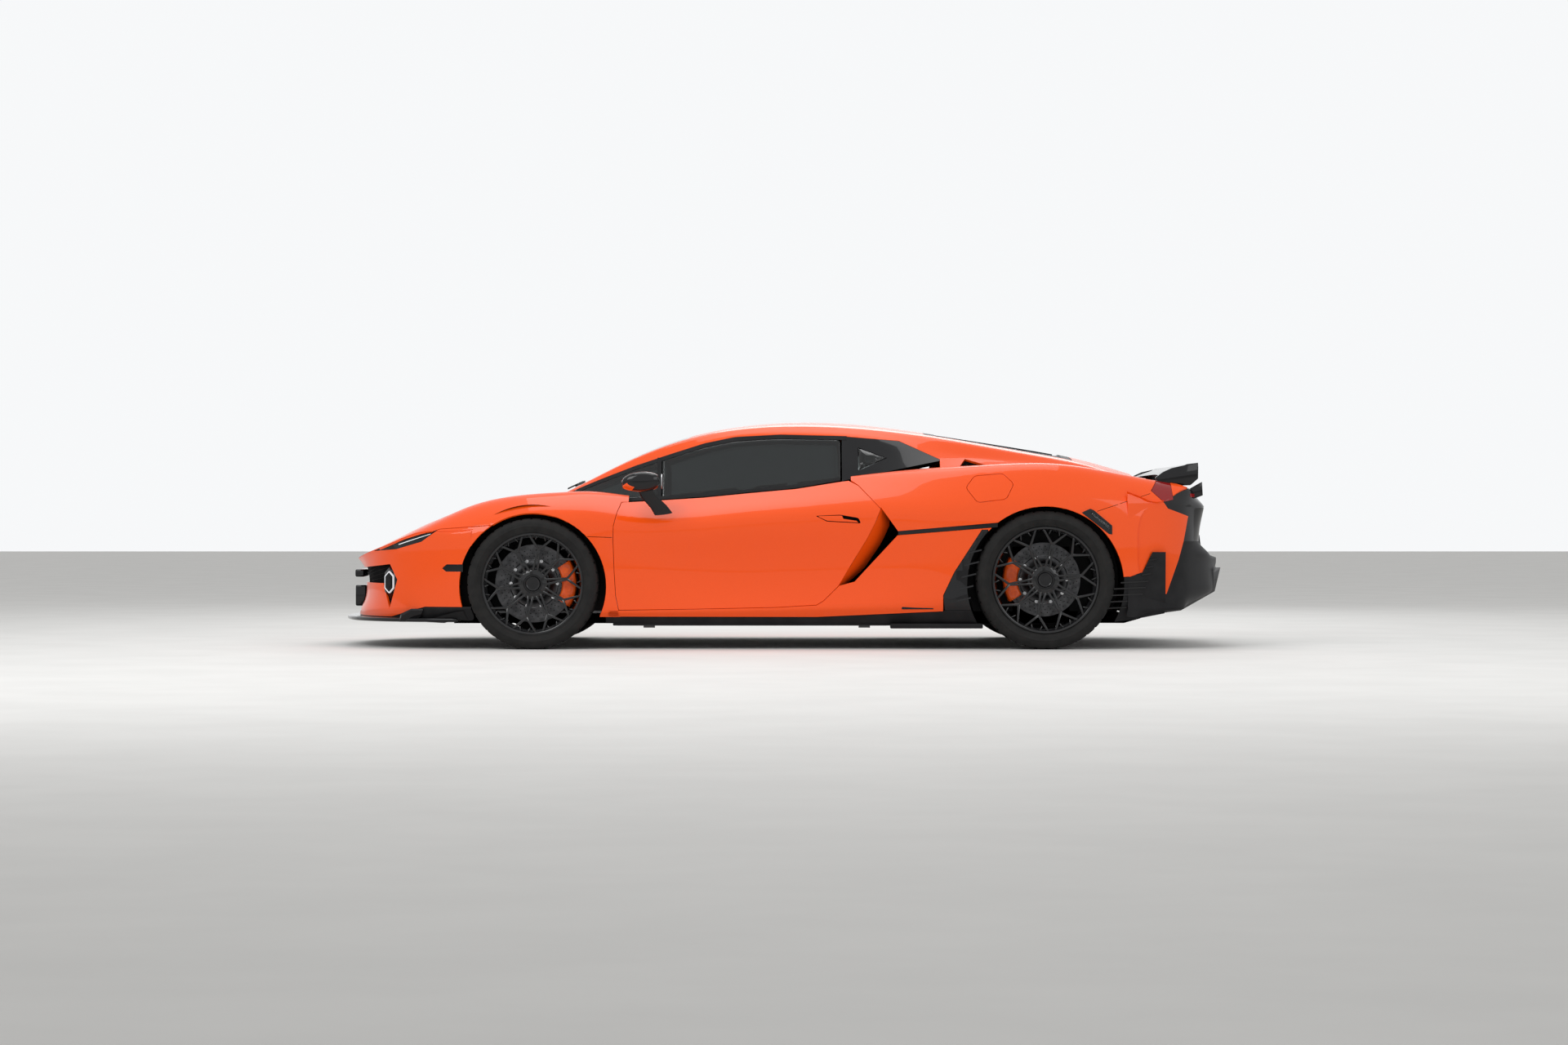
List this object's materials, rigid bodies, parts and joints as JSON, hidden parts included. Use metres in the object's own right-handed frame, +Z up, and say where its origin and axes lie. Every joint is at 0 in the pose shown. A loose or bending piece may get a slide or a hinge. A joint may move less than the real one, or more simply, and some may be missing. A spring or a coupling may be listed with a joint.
{
  "type": "mid-engined supercar",
  "caption": "Low wedge-shaped mid-engined two-seat sports coupe with opening doors, bonnet, engine cover and fuel flap, steered front wheels and forked-spoke wheels.",
  "frame": {"origin": "ground point under the middle of the car's overall length and width", "axes": "+X from nose to tail, +Y to the right-hand side, +Z up"},
  "size_m": [4.693, 2.236, 1.2017],
  "materials": {
    "orange_paint": "gloss clear coat",
    "black_gloss": "gloss",
    "black_satin": "satin",
    "tinted_glass": "clear",
    "lamp_lens": "clear",
    "red_lens": "clear",
    "tyre_rubber": "matt",
    "rim_black": "gloss",
    "caliper_orange": "gloss",
    "alloy": "satin",
    "steel": "satin",
    "frame_alloy": "satin",
    "tub_composite": "satin",
    "engine_alloy": "satin",
    "seat_leather": "satin",
    "trim": "matt"
  },
  "bodies": {
    "chassis": {"windscreen": "tinted_glass", "side_windows": "tinted_glass", "quarter_panels": "black_gloss", "headlamps": "lamp_lens", "front_bumper": "orange_paint", "front_splitter": "black_satin", "front_wings": "orange_paint", "side_sills": "black_gloss", "roof": "orange_paint", "rear_quarters": "orange_paint", "side_outlets": "black_gloss", "rear_bumper": "orange_paint", "tail_lamps": "red_lens", "diffuser": "black_satin", "rear_uprights": "alloy", "rear_calipers": "caliper_orange", "front_arms": "alloy", "rear_arms": "alloy", "arch_liners": "black_satin", "tub": "tub_composite", "front_frame": "frame_alloy", "rear_frame": "frame_alloy", "engine": "engine_alloy", "seats": "seat_leather", "dashboard": "trim", "rear_wing": "black_gloss", "cowl": "black_satin", "exhaust_pipes": "steel"},
    "bonnet_lid": {"bonnet": "orange_paint"},
    "engine_lid": {"engine_cover": "black_gloss"},
    "left_door": {"door_left": "orange_paint", "door_glass_left": "tinted_glass", "mirror_left": "black_gloss"},
    "right_door": {"door_right": "orange_paint", "door_glass_right": "tinted_glass", "mirror_right": "black_gloss"},
    "fuel_door": {"fuel_flap": "orange_paint"},
    "steering": {"steering_wheel": "trim"},
    "steer_left": {"front_upright_left": "alloy", "front_caliper_left": "caliper_orange"},
    "steer_right": {"front_upright_right": "alloy", "front_caliper_right": "caliper_orange"},
    "wheel_fl": {"front_wheel_left": "rim_black", "front_tyre_left": "tyre_rubber"},
    "wheel_fr": {"front_wheel_right": "rim_black", "front_tyre_right": "tyre_rubber"},
    "wheel_rl": {"rear_wheel_left": "rim_black", "rear_tyre_left": "tyre_rubber"},
    "wheel_rr": {"rear_wheel_right": "rim_black", "rear_tyre_right": "tyre_rubber"}
  },
  "joints": [
    {"name": "left_steer", "type": "hinge", "parent": "chassis", "child": "steer_left", "pos_m": [-1.294, -0.799, 0.34], "axis": [0, 0, 1], "range_deg": [-33, 33]},
    {"name": "right_steer", "type": "hinge", "parent": "chassis", "child": "steer_right", "pos_m": [-1.294, 0.799, 0.34], "axis": [0, 0, 1], "range_deg": [-33, 33]},
    {"name": "steering_turn", "type": "hinge", "parent": "chassis", "child": "steering", "pos_m": [-0.33, -0.37, 0.64], "axis": [0.9272, 0, 0.3746], "range_deg": [-450, 450]},
    {"name": "front_left_roll", "type": "hinge", "parent": "steer_left", "child": "wheel_fl", "pos_m": [-1.294, -0.861, 0.34], "axis": [0, 1, 0], "continuous": true},
    {"name": "front_right_roll", "type": "hinge", "parent": "steer_right", "child": "wheel_fr", "pos_m": [-1.294, 0.861, 0.34], "axis": [0, 1, 0], "continuous": true},
    {"name": "rear_left_roll", "type": "hinge", "parent": "chassis", "child": "wheel_rl", "pos_m": [1.364, -0.835, 0.36], "axis": [0, 1, 0], "continuous": true},
    {"name": "rear_right_roll", "type": "hinge", "parent": "chassis", "child": "wheel_rr", "pos_m": [1.364, 0.835, 0.36], "axis": [0, 1, 0], "continuous": true},
    {"name": "left_door_swing", "type": "hinge", "parent": "chassis", "child": "left_door", "pos_m": [-0.765, -0.905, 0.45], "axis": [0, 0, -1], "range_deg": [0, 60]},
    {"name": "right_door_swing", "type": "hinge", "parent": "chassis", "child": "right_door", "pos_m": [-0.765, 0.905, 0.45], "axis": [0, 0, 1], "range_deg": [0, 60]},
    {"name": "bonnet_swing", "type": "hinge", "parent": "chassis", "child": "bonnet_lid", "pos_m": [-1.235, 0, 0.765], "axis": [0, 1, 0], "range_deg": [0, 62]},
    {"name": "engine_lid_swing", "type": "hinge", "parent": "chassis", "child": "engine_lid", "pos_m": [0.735, 0, 1.108], "axis": [0, -1, 0], "range_deg": [0, 55]},
    {"name": "fuel_flap_swing", "type": "hinge", "parent": "chassis", "child": "fuel_door", "pos_m": [0.944, -0.91833, 0.839], "axis": [0, -0.5255, -0.8508], "range_deg": [0, 85]}
  ],
  "couplings": [
    {"joint": "right_steer", "follows": "left_steer", "ratio": 1},
    {"joint": "steering_turn", "follows": "left_steer", "ratio": -13.5}
  ]
}
